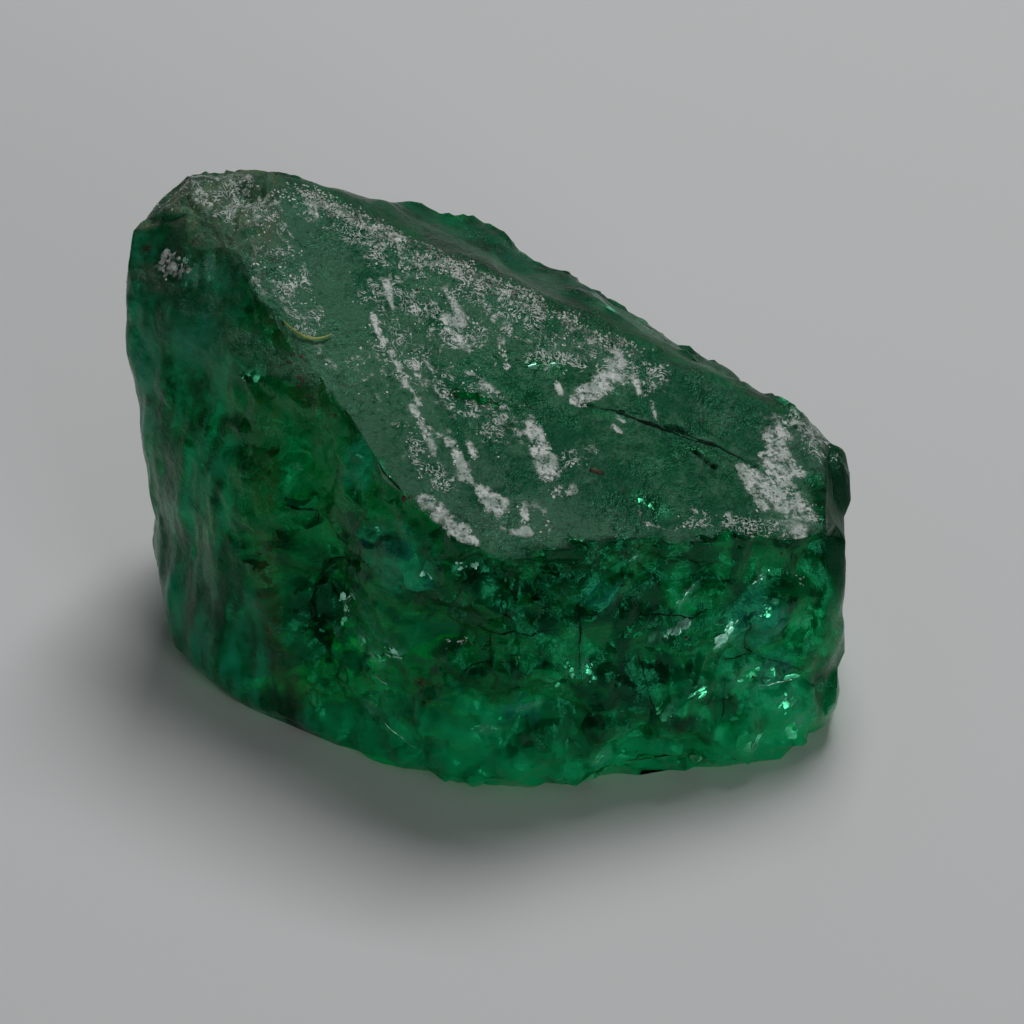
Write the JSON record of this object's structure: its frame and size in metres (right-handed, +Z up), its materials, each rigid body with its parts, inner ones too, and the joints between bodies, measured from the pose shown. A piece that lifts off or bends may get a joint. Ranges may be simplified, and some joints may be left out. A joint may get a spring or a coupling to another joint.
{
  "type": "raw emerald crystal",
  "caption": "Rough natural emerald crystal with a slanting frosted top face, glassy green prism sides and a flat parting face that it rests on.",
  "frame": {"origin": "middle of the bounding box in plan, on the plane of the flat parting face under the crystal", "axes": "+X to the right along the longest extent, from the tall end to the low end; +Y to the back; +Z up, away from the parting face"},
  "size_m": [0.02, 0.0142, 0.013],
  "materials": {
    "emerald": "rough broken crystal, glassy green sides and a frosted top"
  },
  "bodies": {
    "root": {"emerald_crystal": "emerald"}
  },
  "joints": []
}
